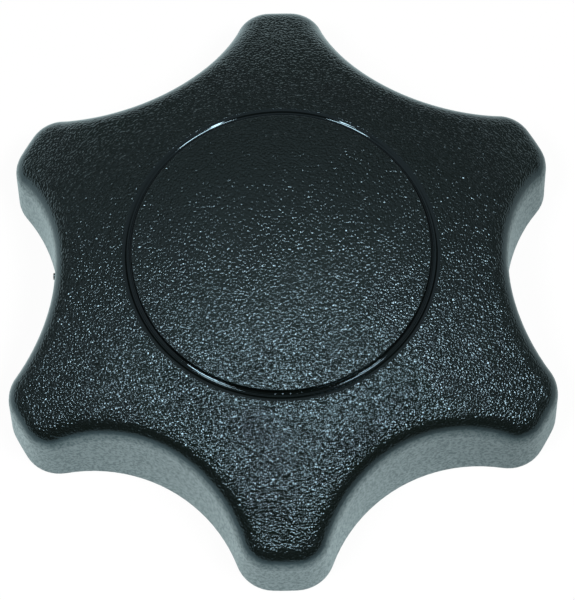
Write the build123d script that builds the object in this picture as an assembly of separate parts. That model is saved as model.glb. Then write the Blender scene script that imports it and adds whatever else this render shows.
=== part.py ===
from build123d import *

import os
from math import atan2, cos, degrees, hypot, pi, radians, sin, sqrt, tan

# Screw-on fuel filler cap. A six-lobed domed handle turns a threaded closure through a
# torque-limiting ratchet, and a two-way vent valve sits in the closure's central turret.
# Frame: origin at the centre of the handle's bottom rim, +Z up along the cap's axis. Millimetres.

# ---------------------------------------------------------------- neck and thread (radii)
THREAD_ROOT_RADIUS = 28.6   # wall between the ridges of the closure's internal thread
THREAD_DEPTH = 1.3
THREAD_PITCH = 3.2
THREAD_END_GAP = 0.1        # between the ridge's ends and the thread zone's
THREAD_BASE = 1.9           # ridge's axial width at its root
THREAD_CREST = 0.8          # ridge's axial width at its crest
THREAD_BITE = 0.4           # how far the ridge's root is sunk into the skirt's wall
PILOT_RELIEF = 0.6          # plain lead-in bore, larger than the thread's root
PILOT_LENGTH = 2.2
MOUTH_CHAMFER = 0.3

# ---------------------------------------------------------------- closure body
SKIRT_LIFT = 0.8            # the closure's mouth stands this far above the handle's rim
SKIRT_WALL = 2.0
THREAD_ZONE = 5.6
FLANGE_THICKNESS = 1.6
NECK_ROOM = 5.2             # from the thread's root in to the plug, for the neck's wall
PLUG_WALL = 1.9             # the plug is the ring that hangs inside the filler neck
TURRET_WALL = 2.1
TURRET_HEAD = 1.25          # turret left above the retaining clip
WEB_THICKNESS = 2.2         # floor of the turret
WEB_PORT_RADIUS = 5.6
PLUG_RIBS = 12
PLUG_RIB_WIDTH = 1.4
PLUG_RIB_LIFT = 1.2         # ribs' lower edges above the plug's

# ---------------------------------------------------------------- gasket
GASKET_THICKNESS = 2.0
GASKET_GAP = 0.2
GASKET_BEAD_RADIUS = 1.0    # half-round bead that meets the neck's lip

# ---------------------------------------------------------------- ratchet
RATCHET_TEETH = 36
TOOTH_DEPTH = 1.2
TOOTH_LAND = 0.25           # share of the pitch that is flat tip
TOOTH_RAMP = 0.45           # share of the pitch that is ramp
TOOTH_RING_WALL = 1.5       # ring below the tooth roots
TOOTH_RING_ROOM = 3.7       # from the turret out to the tooth ring, for the spring washer
TOOTH_HEIGHT = 2.0
PAWLS = 3
PAWL_ARM = 1.4              # arm's radial thickness
PAWL_REACH = 3.8            # nose's length from the arm to the tooth tips
PAWL_SWEEP = 66.0           # arm's length, in degrees
PAWL_ROOT = 14.0            # root block's width, in degrees
PAWL_NOSE = 9.0             # nose pad's width on the arm, in degrees
PAWL_FLEX_GAP = 2.6         # free space behind the arm
PAWL_CLEARANCE = 0.12
RATCHET_AXIAL_GAP = 0.2
SPLINES = 6
SPLINE_WIDTH = 4.0
SPLINE_DEPTH = 1.4
SPLINE_CLEARANCE = 0.15
SPLINE_GAP = 0.3            # splines' lower ends above the closure's flange

# ---------------------------------------------------------------- handle
LOBES = 6
COLLAR_GAP = 0.4            # running space round the closure's skirt
COLLAR_WALL = 1.8
COLLAR_LIFT = 0.6
VALLEY_SKIN = 1.2           # valley's skin outside the collar
LOBE_DEPTH = 11.0           # from valley floor to lobe tip
VALLEY_ARC = 23.0
LOBE_CORNER = 5.75
LOBE_TIP_ARC = 48.5
HANDLE_DRAFT = 3.0          # degrees
HANDLE_WALL = 2.4
ROOF_THICKNESS = 2.4
ROOF_GAP = 0.3              # least space between the ratchet ring and the roof
DOME_RADIUS = 89.6
EDGE_FILLET = 4.25
INNER_FILLET = 1.5
RIM_FILLET = 0.4
LOBE_RIB_WIDTH = 1.6
LOBE_RIB_ANGLE = 7.0        # each side of the lobe's middle
LOBE_RIB_LIFT = 3.0
DECK_GAP = 0.4
DECK_THICKNESS = 2.2
HUB_CLEARANCE = 0.05
GATE_RADIUS = 0.5           # moulding gate's broken stub, in the valley on -X
GATE_STAND = 0.3
GATE_HEIGHT = 12.0

# ---------------------------------------------------------------- centre disc and its ring groove
DISC_RADIUS = 21.6
DISC_CLEARANCE = 0.1
DISC_STAND = 0.35           # disc's crown above the handle's
DISC_THICKNESS = 2.0
DISC_EDGE = 0.12
DISC_SKIRT_WALL = 1.5
DISC_FLOOR_GAP = 0.2
FLANGE_DEPTH = 0.8          # disc's flange, whose top is the groove's floor
FLANGE_FILLET = 0.32
FLANGE_SEAM = 0.08
GROOVE_WIDTH = 1.20         # from the disc's wall to the lip
GROOVE_DEPTH = 0.27         # below the lip
GROOVE_SLOPE = 29.0         # degrees, of the handle's side
GROOVE_SWEEP = 0.45         # hollow at the slope's foot
GROOVE_LIP = 0.55
GROOVE_LAND = 0.02          # flat between the sweep and the seam
WELL_WALL = 2.2
SNAPS = 4
SNAP_ANGLE = 22.0
SNAP_HEIGHT = 0.9
SNAP_DEPTH = 0.5
SNAP_LIFT = 0.5             # above the disc skirt's lower edge
SNAP_CLEARANCE = 0.1
SNAP_RAMP = 0.4             # chamfer of the beads' upper and lower edges
SNAP_SLOT = 1.2

# ---------------------------------------------------------------- thrust washer, clip and spring washer
WASHER_GAP = 0.05
WASHER_THICKNESS = 0.4
WASHER_WIDTH = 3.4
CLIP_THICKNESS = 0.8
CLIP_GROOVE = 0.8
CLIP_WIDTH = 3.2
CLIP_GAP_ANGLE = 34.0
CLIP_LUG_RADIUS = 1.6
CLIP_HOLE_RADIUS = 0.6
SPRING_WASHER_THICKNESS = 0.4
SPRING_WASHER_SIDE = 0.4

# ---------------------------------------------------------------- vent valve
VALVE_RADIUS = 10.85
VALVE_FIT = 0.05
VALVE_WALL = 1.25
VALVE_FLOOR = 1.2
VALVE_PORT_RADIUS = 4.9
SEAT_RADIUS = 6.5
SEAT_WIDTH = 0.6
SEAT_HEIGHT = 0.5
SEAT_ROUNDING = 0.45        # share of the seat's width
SEAL_RADIUS = 7.6
SEAL_BORE = 3.1
SEAL_THICKNESS = 0.9
SEAL_SIDE = 0.1
PLATE_RADIUS = 8.9
PLATE_THICKNESS = 0.8
LOCATOR_GAP = 0.25          # between the spring and the rings that centre it
LOCATOR_WALL = 0.7
LOCATOR_HEIGHT = 0.6
PLATE_SPOKES = 3
SPOKE_WIDTH = 1.0
GUIDE_RADIUS = 2.0
GUIDE_HEIGHT = 0.5
STEM_RADIUS = 1.2
STEM_CLEARANCE = 0.06
STEM_HEAD = 0.4
POPPET_RADIUS = 4.5
POPPET_THICKNESS = 0.9
POPPET_LIP = 0.5
POPPET_LIP_HEIGHT = 0.3
PRESSURE_COIL_RADIUS = 7.3
PRESSURE_WIRE = 0.7
PRESSURE_TURNS = 3.25
PRESSURE_SPRING_HEIGHT = 5.4
VACUUM_COIL_RADIUS = 2.3
VACUUM_WIRE = 0.35
VACUUM_TURNS = 3.25
VACUUM_SPRING_HEIGHT = 2.9
VACUUM_CLIP_RADIUS = 3.1
VACUUM_CLIP_THICKNESS = 0.3
VACUUM_CLIP_GROOVE = 0.25
O_RING_RADIUS = 8.3
O_RING_WIRE = 0.6
O_RING_ROOM = 0.05
CAP_THICKNESS = 1.2
CAP_RECESS = 0.4            # cap's top below the turret's
CAP_BEAD = 0.3
CAP_BEAD_HEIGHT = 0.6
CAP_BEAD_SLOPE = 0.8
CAP_PORT_RADIUS = 2.0
CAP_HOLES = 6
CAP_HOLE_RADIUS = 1.1
CAP_HOLE_PLACE = 4.8
CONTACT_GAP = 0.02          # film left between a spring's end and its seat
SAME_SIZE = 0.001           # two edges this close in radius are the same size

# ---------------------------------------------------------------- vent filter and splash guard
FILTER_GAP = 0.05
FILTER_THICKNESS = 1.0
FILTER_HEADROOM = 0.25
FILTER_INSET = 0.2
GUARD_INSET = 2.8           # guard's edge inside the plug's
GUARD_THICKNESS = 1.2
GUARD_RIM = 1.0
GUARD_RIM_HEIGHT = 0.9
GUARD_SLOTS = 6
GUARD_SLOT_WIDTH = 6.0
GUARD_GAP = 0.05
SCREWS = 3
SCREW_RADIUS = 1.2
SCREW_CLEARANCE = 0.05
SCREW_HEAD_RADIUS = 1.9
SCREW_HEAD_HEIGHT = 0.9
SCREW_LENGTH = 4.6
SCREW_RECESS = 0.2
SCREW_SLOT = 0.5
BOSS_RADIUS = 2.7

# ---------------------------------------------------------------- radii that follow
pilot_radius = THREAD_ROOT_RADIUS + PILOT_RELIEF
skirt_radius = THREAD_ROOT_RADIUS + SKIRT_WALL
collar_bore = skirt_radius + COLLAR_GAP
collar_radius = collar_bore + COLLAR_WALL
valley_radius = collar_radius + VALLEY_SKIN
lobe_tip_radius = valley_radius + LOBE_DEPTH
plug_radius = THREAD_ROOT_RADIUS - NECK_ROOM
plug_bore = plug_radius - PLUG_WALL
gasket_bead_place = (plug_radius + THREAD_ROOT_RADIUS) / 2
turret_bore = VALVE_RADIUS + VALVE_FIT
turret_radius = turret_bore + TURRET_WALL
hub_bore = turret_radius + HUB_CLEARANCE
clip_groove_radius = turret_radius - CLIP_GROOVE
groove_radius = DISC_RADIUS + GROOVE_WIDTH
groove_foot = groove_radius - GROOVE_DEPTH / tan(radians(GROOVE_SLOPE))
rebate_radius = groove_foot - GROOVE_SWEEP * tan(radians(GROOVE_SLOPE) / 2) - GROOVE_LAND
flange_radius = rebate_radius - FLANGE_SEAM
well_bore = DISC_RADIUS + DISC_CLEARANCE
well_radius = groove_radius + WELL_WALL
tooth_ring_bore = turret_radius + TOOTH_RING_ROOM
tooth_root_radius = tooth_ring_bore + TOOTH_RING_WALL
ratchet_radius = tooth_root_radius + TOOTH_DEPTH
pawl_arm_bore = ratchet_radius + PAWL_REACH
pawl_arm_radius = pawl_arm_bore + PAWL_ARM
ratchet_ring_bore = pawl_arm_radius + PAWL_FLEX_GAP
ratchet_ring_radius = collar_bore - SPLINE_CLEARANCE
spline_tip_radius = collar_bore - SPLINE_DEPTH
filter_radius = turret_radius - FILTER_INSET
guard_radius = plug_radius - GUARD_INSET
screw_place = (turret_radius + plug_bore) / 2
stem_neck_radius = STEM_RADIUS - VACUUM_CLIP_GROOVE

# ---------------------------------------------------------------- heights that follow
mouth_z = SKIRT_LIFT
pilot_top = mouth_z + PILOT_LENGTH
gasket_z = pilot_top + THREAD_ZONE
flange_z = gasket_z + GASKET_THICKNESS
flange_top = flange_z + FLANGE_THICKNESS
tooth_top = flange_top + TOOTH_HEIGHT
deck_z = tooth_top + DECK_GAP
deck_top = deck_z + DECK_THICKNESS
washer_z = deck_top + WASHER_GAP
clip_groove_z = washer_z + WASHER_THICKNESS
clip_z = clip_groove_z + WASHER_GAP
clip_groove_top = clip_z + CLIP_THICKNESS + WASHER_GAP
turret_top = clip_groove_top + TURRET_HEAD
filter_z = turret_top + FILTER_GAP
filter_top = filter_z + FILTER_THICKNESS


def dome_drop(radius, dome_radius):
    """How far a dome has fallen below its crown at a radius."""
    return dome_radius - sqrt(dome_radius**2 - radius**2)


# the crown clears both the filter below the disc and the ratchet ring below the roof's outer edge
disc_under_radius = DOME_RADIUS + DISC_STAND - DISC_THICKNESS
disc_under_crown = filter_top + FILTER_HEADROOM + dome_drop(filter_radius, disc_under_radius)
roof_edge_z = deck_z - RATCHET_AXIAL_GAP + ROOF_GAP
roof_crown = roof_edge_z + dome_drop(collar_bore, DOME_RADIUS - ROOF_THICKNESS)
crown_height = max(disc_under_crown + DISC_THICKNESS - DISC_STAND, roof_crown + ROOF_THICKNESS)
dome_centre = crown_height - DOME_RADIUS
groove_floor = crown_height - dome_drop(groove_radius, DOME_RADIUS) - GROOVE_DEPTH
seat_floor = groove_floor - FLANGE_DEPTH

# vent valve's stack, from the turret's top down to its floor, which lies as deep as the valve needs
cap_top = turret_top - CAP_RECESS
cap_z = cap_top - CAP_THICKNESS
plate_top = cap_z - PRESSURE_SPRING_HEIGHT
plate_z = plate_top - PLATE_THICKNESS
seat_z = plate_z - SEAL_THICKNESS
valve_floor_top = seat_z - SEAT_HEIGHT
web_top = valve_floor_top - VALVE_FLOOR
plug_z = web_top - WEB_THICKNESS
o_ring_z = web_top - O_RING_WIRE
guide_top = plate_top + GUIDE_HEIGHT
vacuum_clip_z = plate_top + VACUUM_SPRING_HEIGHT
vacuum_clip_top = vacuum_clip_z + VACUUM_CLIP_THICKNESS
stem_top = vacuum_clip_top + STEM_HEAD

# splash guard's stack, from the plug down
guard_top = plug_z - GUARD_GAP
guard_floor_top = guard_top - GUARD_RIM_HEIGHT
guard_z = guard_floor_top - GUARD_THICKNESS
screw_seat_z = guard_z + SCREW_HEAD_HEIGHT
screw_hole_top = screw_seat_z + SCREW_LENGTH + SCREW_CLEARANCE


# ---------------------------------------------------------------- helpers
def cylinder(radius, bottom, top):
    """Upright cylinder between two heights."""
    return Pos(0, 0, bottom) * extrude(Circle(radius), top - bottom)


def ring(bore, radius, bottom, top):
    """Upright ring between two heights."""
    return Pos(0, 0, bottom) * extrude(Circle(radius) - Circle(bore), top - bottom)


def turned(points):
    """Solid of revolution about the axis, from its half section as (radius, height) pairs."""
    section = make_face(Polyline([(radius, 0, height) for radius, height in points], close=True))
    return revolve(section, Axis.Z)


def polar(radius, angle):
    """Point of the horizontal plane at a radius and an angle in degrees."""
    return (radius * cos(radians(angle)), radius * sin(radians(angle)))


def sector(bore, radius, start, sweep):
    """Flat sector of a ring between two angles in degrees."""
    outer = CenterArc((0, 0), radius, start, sweep)
    inner = CenterArc((0, 0), bore, start, sweep)
    sides = Line(inner @ 0, outer @ 0) + Line(outer @ 1, inner @ 1)
    return make_face(outer + inner + sides)


def radial_bar(inner, outer, width, angle, bottom, top):
    """Upright bar that runs outwards at an angle in degrees."""
    bar = Pos((inner + outer) / 2, 0, bottom) * extrude(Rectangle(outer - inner, width), top - bottom)
    return Rot(0, 0, angle) * bar


def around(count, feature, start=0.0):
    """Copies of a feature, evenly spaced about the axis."""
    return [Rot(0, 0, start + 360 / count * index) * feature for index in range(count)]


def top_circle(shape, radius):
    """Highest circular edge of a radius."""
    circles = shape.edges().filter_by(GeomType.CIRCLE)
    return circles.filter_by(lambda edge: abs(edge.radius - radius) < SAME_SIZE).sort_by(Axis.Z)[-1]


def dome(lift):
    """Ball whose top is the handle's dome, raised or lowered by a lift."""
    return Pos(0, 0, dome_centre) * Sphere(DOME_RADIUS + lift)


# ---------------------------------------------------------------- handle
def star_outline(inset):
    """Handle's outline at the rim, moved in by an inset: six lobes of tangent arcs.

    A valley's arc, a lobe's corner and the lobe's tip arc touch each other, so the corner's
    centre lies where the circles offset from the other two cross.
    """
    half_pitch = pi / LOBES
    valley_arc = VALLEY_ARC + inset
    corner = LOBE_CORNER - inset
    tip_arc = LOBE_TIP_ARC - inset
    valley_centre = valley_radius + VALLEY_ARC
    tip_centre = lobe_tip_radius - LOBE_TIP_ARC
    tip_x = tip_centre * cos(half_pitch)
    tip_y = tip_centre * sin(half_pitch)
    gap = hypot(tip_x - valley_centre, tip_y)
    along = ((valley_arc + corner) ** 2 - (tip_arc - corner) ** 2 + gap**2) / (2 * gap)
    across = sqrt((valley_arc + corner) ** 2 - along**2)
    unit_x = (tip_x - valley_centre) / gap
    unit_y = tip_y / gap
    corner_x = valley_centre + along * unit_x + across * unit_y
    corner_y = along * unit_y - across * unit_x
    if corner_y < 0:
        corner_x = valley_centre + along * unit_x - across * unit_y
        corner_y = along * unit_y + across * unit_x
    valley_end = degrees(atan2(corner_y, corner_x - valley_centre))
    tip_end = degrees(atan2(corner_y - tip_y, corner_x - tip_x))
    valley_sweep = 2 * (180 - valley_end)
    tip_sweep = 2 * (degrees(half_pitch) - tip_end)
    corner_sweep = 180 - valley_end + tip_end
    edges = []
    for index in range(LOBES):
        turn = 360 / LOBES * index
        lobe = turn + degrees(half_pitch)
        valley = polar(valley_centre, turn)
        edges.append(CenterArc(valley, valley_arc, turn + valley_end + valley_sweep, -valley_sweep))
        tip = polar(tip_centre, lobe)
        edges.append(CenterArc(tip, tip_arc, lobe - tip_sweep / 2, tip_sweep))
        reach = hypot(corner_x, corner_y)
        bearing = degrees(atan2(corner_y, corner_x))
        first = polar(reach, turn + bearing)
        edges.append(CenterArc(first, corner, turn + tip_end - corner_sweep, corner_sweep))
        second = polar(reach, lobe + degrees(half_pitch) - bearing)
        edges.append(CenterArc(second, corner, 2 * lobe - turn - tip_end, corner_sweep))
    return make_face(edges)


def star_prism(inset, top):
    """Lobed column from the rim up, narrowing with the draft."""
    return extrude(star_outline(inset), top, taper=HANDLE_DRAFT)


def handle_body():
    """Outside of the handle: drafted lobes cut off by the dome, with a rounded shoulder."""
    body = star_prism(0, crown_height) & dome(0)
    shoulder = body.faces().filter_by(GeomType.SPHERE).sort_by(SortBy.AREA)[-1].edges()
    body = fillet(shoulder, EDGE_FILLET)
    rim = body.faces().sort_by(Axis.Z)[0].edges()
    return fillet(rim, RIM_FILLET)


def handle_hollow():
    """Everything that is empty below the handle's roof."""
    roof = dome(-ROOF_THICKNESS)
    lobes = star_prism(HANDLE_WALL, crown_height) & roof
    lobes = fillet(lobes.faces().filter_by(GeomType.SPHERE).sort_by(SortBy.AREA)[-1].edges(), INNER_FILLET)
    lobes -= cylinder(collar_radius, COLLAR_LIFT, crown_height)
    half_pitch = 180 / LOBES
    for side in (-LOBE_RIB_ANGLE, LOBE_RIB_ANGLE):
        rib = radial_bar(collar_radius, lobe_tip_radius, LOBE_RIB_WIDTH, side, LOBE_RIB_LIFT, crown_height)
        lobes -= around(LOBES, rib, half_pitch)
    well = cylinder(well_radius, deck_z, crown_height)
    centre = (cylinder(collar_bore, 0, crown_height) & roof) - well
    return lobes + centre


def handle_splines():
    """Upright keys inside the collar that drive the ratchet ring."""
    lower = flange_top + SPLINE_GAP
    middle = (spline_tip_radius + collar_radius) / 2
    upper = crown_height - dome_drop(middle, DOME_RADIUS) - ROOF_THICKNESS / 2
    key = radial_bar(spline_tip_radius, collar_bore + COLLAR_WALL / 2, SPLINE_WIDTH, 0, lower, upper)
    return around(SPLINES, key, 180 / LOBES)


def snap_height():
    """Lower edge of the disc's snap beads."""
    return deck_top + DISC_FLOOR_GAP + SNAP_LIFT


def snap_windows():
    """Pockets in the well's wall that the disc's snap beads click into."""
    room = SNAP_CLEARANCE / DISC_RADIUS * 180 / pi
    face = sector(DISC_RADIUS, well_bore + SNAP_DEPTH, -SNAP_ANGLE / 2 - room, SNAP_ANGLE + 2 * room)
    height = SNAP_HEIGHT + 2 * SNAP_CLEARANCE
    window = Pos(0, 0, snap_height() - SNAP_CLEARANCE) * extrude(face, height)
    return around(SNAPS, window)


def gate_stub():
    """Short stub on a valley's wall where the moulding was broken off its runner."""
    wall = valley_radius - GATE_HEIGHT * tan(radians(HANDLE_DRAFT))
    stub = extrude(Circle(GATE_RADIUS), GATE_RADIUS + GATE_STAND)
    return Pos(GATE_RADIUS - wall, 0, GATE_HEIGHT) * Rot(0, -90, 0) * stub


def handle_shell():
    """Lobed handle: hollow lobes, collar, splines, deck with its hub, and the disc's well."""
    shell = handle_body() - handle_hollow() + handle_splines()
    above = crown_height + DISC_STAND
    mouth = groove_foot + (above - groove_floor) / tan(radians(GROOVE_SLOPE))
    shell -= turned([(0, groove_floor), (groove_foot, groove_floor), (mouth, above), (0, above)])
    shell = fillet(top_circle(shell, groove_foot), GROOVE_SWEEP)
    shell = fillet(top_circle(shell, groove_radius), GROOVE_LIP)
    shell -= cylinder(rebate_radius, seat_floor, groove_floor)
    shell -= cylinder(well_bore, deck_top, crown_height)
    shell -= cylinder(hub_bore, deck_z, deck_top)
    return shell - snap_windows() + gate_stub()


def centre_disc():
    """Bare domed disc with a rim flange and a skirt of snap fingers, seated in the handle's well."""
    lower = deck_top + DISC_FLOOR_GAP
    disc = cylinder(DISC_RADIUS, lower, crown_height + DISC_STAND) & dome(DISC_STAND)
    disc = fillet(top_circle(disc, DISC_RADIUS), DISC_EDGE)
    disc += cylinder(flange_radius, seat_floor, groove_floor)
    corner = disc.edges().filter_by(GeomType.CIRCLE)
    corner = corner.filter_by(lambda edge: abs(edge.center().Z - groove_floor) < SAME_SIZE)
    disc = fillet(corner.sort_by(SortBy.RADIUS)[0], FLANGE_FILLET)
    disc -= cylinder(DISC_RADIUS - DISC_SKIRT_WALL, lower, crown_height) & dome(DISC_STAND - DISC_THICKNESS)
    beads = sector(DISC_RADIUS - DISC_SKIRT_WALL / 2, DISC_RADIUS + SNAP_DEPTH, -SNAP_ANGLE / 2, SNAP_ANGLE)
    bead = Pos(0, 0, snap_height()) * extrude(beads, SNAP_HEIGHT)
    outer_edges = bead.edges().filter_by(GeomType.CIRCLE).sort_by(SortBy.LENGTH)[-2:]
    disc += around(SNAPS, chamfer(outer_edges, SNAP_RAMP))
    slot_top = snap_height() + SNAP_HEIGHT
    slot_angle = degrees(SNAP_SLOT / DISC_RADIUS) + SNAP_ANGLE / 2
    for side in (-slot_angle, slot_angle):
        slot = radial_bar(DISC_RADIUS - 2 * DISC_SKIRT_WALL, DISC_RADIUS + SNAP_DEPTH, SNAP_SLOT, side,
                          lower, slot_top)
        disc -= around(SNAPS, slot)
    return disc


# ---------------------------------------------------------------- closure
def ratchet_tooth(index):
    """Corner points of one tooth: steep flank for opening, ramp for tightening."""
    pitch = 360 / RATCHET_TEETH
    start = pitch * index
    land = start + pitch * TOOTH_LAND
    ramp_end = land + pitch * TOOTH_RAMP
    return [polar(tooth_root_radius, start), polar(ratchet_radius, start),
            polar(ratchet_radius, land), polar(tooth_root_radius, ramp_end)]


def ratchet_teeth():
    """Ring of ratchet teeth on the closure's flange."""
    points = [point for index in range(RATCHET_TEETH) for point in ratchet_tooth(index)]
    face = make_face(Polyline(points, close=True)) - Circle(tooth_ring_bore)
    return Pos(0, 0, flange_top) * extrude(face, TOOTH_HEIGHT)


def neck_thread():
    """Coarse right-hand internal thread: one trapezoid ridge with blunt ends, sunk into the skirt."""
    crest = THREAD_ROOT_RADIUS - THREAD_DEPTH
    sunk = THREAD_ROOT_RADIUS + THREAD_BITE
    slope = (THREAD_BASE - THREAD_CREST) / 2 / THREAD_DEPTH
    half_crest = THREAD_CREST / 2
    half_sunk = THREAD_BASE / 2 + slope * THREAD_BITE
    low = pilot_top + THREAD_END_GAP + half_sunk
    height = THREAD_ZONE - 2 * (THREAD_END_GAP + half_sunk)
    section = make_face(Polyline([(sunk, 0, -half_sunk), (crest, 0, -half_crest),
                                  (crest, 0, half_crest), (sunk, 0, half_sunk)], close=True))
    path = Helix(THREAD_PITCH, height, THREAD_ROOT_RADIUS)
    return Pos(0, 0, low) * sweep(section, path=path, is_frenet=True)


def closure_shell():
    """Turned body: skirt with its pilot bore, flange, plug, and turret with its clip groove."""
    body = turned([
        (0, plug_z), (plug_radius, plug_z), (plug_radius, flange_z), (THREAD_ROOT_RADIUS, flange_z),
        (THREAD_ROOT_RADIUS, pilot_top), (pilot_radius, pilot_top), (pilot_radius, mouth_z),
        (skirt_radius, mouth_z), (skirt_radius, flange_top), (turret_radius, flange_top),
        (turret_radius, clip_groove_z), (clip_groove_radius, clip_groove_z),
        (clip_groove_radius, clip_groove_top), (turret_radius, clip_groove_top),
        (turret_radius, turret_top), (0, turret_top)])
    mouth_edges = body.edges().filter_by(GeomType.CIRCLE).sort_by(Axis.Z)[:2]
    return chamfer(mouth_edges, MOUTH_CHAMFER)


def valve_bore():
    """Room for the vent valve: bore with a bead groove, ported floor and O-ring groove."""
    bore = cylinder(turret_bore, web_top, turret_top)
    bead = ring(turret_bore, turret_bore + CAP_BEAD, cap_z, cap_z + CAP_BEAD_HEIGHT)
    port = cylinder(WEB_PORT_RADIUS, plug_z, web_top)
    half_width = O_RING_WIRE + O_RING_ROOM
    groove = ring(O_RING_RADIUS - half_width, O_RING_RADIUS + half_width, o_ring_z - O_RING_WIRE, web_top)
    return bore + bead + port + groove


def guard_boss():
    """Boss for one guard screw, between the turret and the plug."""
    return Pos(screw_place, 0, plug_z) * extrude(Circle(BOSS_RADIUS), flange_z - plug_z)


def closure_body():
    """Closure: turned body, plug ribs, screw bosses, ratchet teeth and neck thread."""
    body = closure_shell()
    body -= ring(turret_radius, plug_bore, plug_z, flange_z)
    rib = radial_bar(turret_radius - TURRET_WALL / 2, plug_radius - PLUG_WALL / 2, PLUG_RIB_WIDTH, 0,
                     plug_z + PLUG_RIB_LIFT, flange_z)
    body += around(PLUG_RIBS, rib, 180 / PLUG_RIBS)
    body += around(SCREWS, guard_boss())
    screw_hole = Pos(screw_place, 0, 0) * cylinder(SCREW_RADIUS + SCREW_CLEARANCE, plug_z, screw_hole_top)
    body -= around(SCREWS, screw_hole)
    body += ratchet_teeth()
    body += neck_thread()
    return body - valve_bore()


def neck_gasket():
    """Flat ring with a half-round bead below, pressed on by the neck's lip."""
    bore = plug_radius + GASKET_GAP
    outer = THREAD_ROOT_RADIUS - GASKET_GAP
    bead = Pos(0, 0, gasket_z + GASKET_BEAD_RADIUS) * Torus(gasket_bead_place, GASKET_BEAD_RADIUS)
    return bead + ring(bore, outer, gasket_z + GASKET_BEAD_RADIUS, flange_z)


# ---------------------------------------------------------------- ratchet ring
def pawl():
    """One springy arm with a nose that fits a gap between two ratchet teeth."""
    pitch = 360 / RATCHET_TEETH
    slack = degrees(PAWL_CLEARANCE / ratchet_radius)
    steep = pitch - slack
    ramp_foot = pitch * (TOOTH_LAND + TOOTH_RAMP) + slack
    ramp_head = pitch * TOOTH_LAND + slack
    tip_radius = tooth_root_radius + PAWL_CLEARANCE
    pad = pawl_arm_bore + PAWL_ARM / 2
    nose = make_face(Polyline([
        polar(tip_radius, steep), polar(ratchet_radius + PAWL_CLEARANCE, steep), polar(pad, steep),
        polar(pad, steep - PAWL_NOSE), polar(ratchet_radius + PAWL_CLEARANCE, ramp_head),
        polar(tip_radius, ramp_foot)], close=True))
    arm = sector(pawl_arm_bore, pawl_arm_radius, steep - PAWL_SWEEP, PAWL_SWEEP)
    root = sector(pawl_arm_bore, ratchet_ring_bore + PAWL_ARM, steep - PAWL_SWEEP - PAWL_ROOT, PAWL_ROOT)
    return nose + arm + root


def ratchet_ring():
    """Ring keyed to the handle's splines, carrying the pawls that drive the closure."""
    face = Circle(ratchet_ring_radius) - Circle(ratchet_ring_bore)
    notch = Pos(spline_tip_radius + SPLINE_DEPTH - SPLINE_CLEARANCE, 0) * Rectangle(
        2 * SPLINE_DEPTH, SPLINE_WIDTH + 2 * SPLINE_CLEARANCE)
    for angle in (180 / SPLINES + 360 / SPLINES * index for index in range(SPLINES)):
        face -= Rot(0, 0, angle) * notch
    for angle in (360 / PAWLS * index for index in range(PAWLS)):
        face += Rot(0, 0, angle) * pawl()
    lower = flange_top + RATCHET_AXIAL_GAP
    return Pos(0, 0, lower) * extrude(face, deck_z - RATCHET_AXIAL_GAP - lower)


# ---------------------------------------------------------------- axial stack on the turret
def spring_washer():
    """Ring bowed about one axis, which lifts the handle against the clip."""
    bore = turret_radius + SPRING_WASHER_SIDE
    outer = tooth_ring_bore - SPRING_WASHER_SIDE
    bow = deck_z - flange_top - SPRING_WASHER_THICKNESS - 2 * CONTACT_GAP
    radius = (outer**2 + bow**2) / (2 * bow)
    top = deck_z - CONTACT_GAP
    profile = Pos(0, top - radius) * (Circle(radius) - Circle(radius - SPRING_WASHER_THICKNESS))
    band = extrude(Plane.XZ * profile, outer + SPRING_WASHER_SIDE, both=True)
    return band & ring(bore, outer, flange_top, deck_z)


def thrust_washer():
    """Slippery flat ring between the handle's deck and the clip."""
    return ring(hub_bore, turret_radius + WASHER_WIDTH, washer_z, washer_z + WASHER_THICKNESS)


def retaining_clip():
    """External circlip in the turret's groove, with two pierced lugs."""
    bore = clip_groove_radius + CONTACT_GAP
    outer = turret_radius + CLIP_WIDTH - CLIP_GROOVE
    face = sector(bore, outer, CLIP_GAP_ANGLE / 2, 360 - CLIP_GAP_ANGLE)
    for side in (-1, 1):
        place = polar(outer, side * (CLIP_GAP_ANGLE / 2 + degrees(CLIP_LUG_RADIUS / outer)))
        face += Pos(*place) * Circle(CLIP_LUG_RADIUS)
        face -= Pos(*place) * Circle(CLIP_HOLE_RADIUS)
    return Pos(0, 0, clip_z) * extrude(face, CLIP_THICKNESS)


# ---------------------------------------------------------------- vent valve
def valve_housing():
    """Cup pushed into the turret, with a port and a raised seat in its floor."""
    cup = ring(VALVE_RADIUS - VALVE_WALL, VALVE_RADIUS, web_top, cap_z)
    floor = ring(VALVE_PORT_RADIUS, VALVE_RADIUS, web_top, valve_floor_top)
    seat = ring(SEAT_RADIUS - SEAT_WIDTH / 2, SEAT_RADIUS + SEAT_WIDTH / 2, valve_floor_top, seat_z)
    seat = fillet(seat.faces().sort_by(Axis.Z)[-1].edges(), SEAT_WIDTH * SEAT_ROUNDING)
    return cup + floor + seat


def housing_o_ring():
    """O-ring below the valve housing's floor."""
    return Pos(0, 0, o_ring_z) * Torus(O_RING_RADIUS, O_RING_WIRE)


def pressure_seal():
    """Rubber ring that closes on the housing's seat and on the poppet's lip."""
    return ring(SEAL_BORE, SEAL_RADIUS, seat_z, plate_z)


def spring_locator(bottom):
    """Low ring that centres the pressure spring from inside."""
    radius = PRESSURE_COIL_RADIUS - PRESSURE_WIRE / 2 - LOCATOR_GAP
    return ring(radius - LOCATOR_WALL, radius, bottom, bottom + LOCATOR_HEIGHT)


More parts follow.
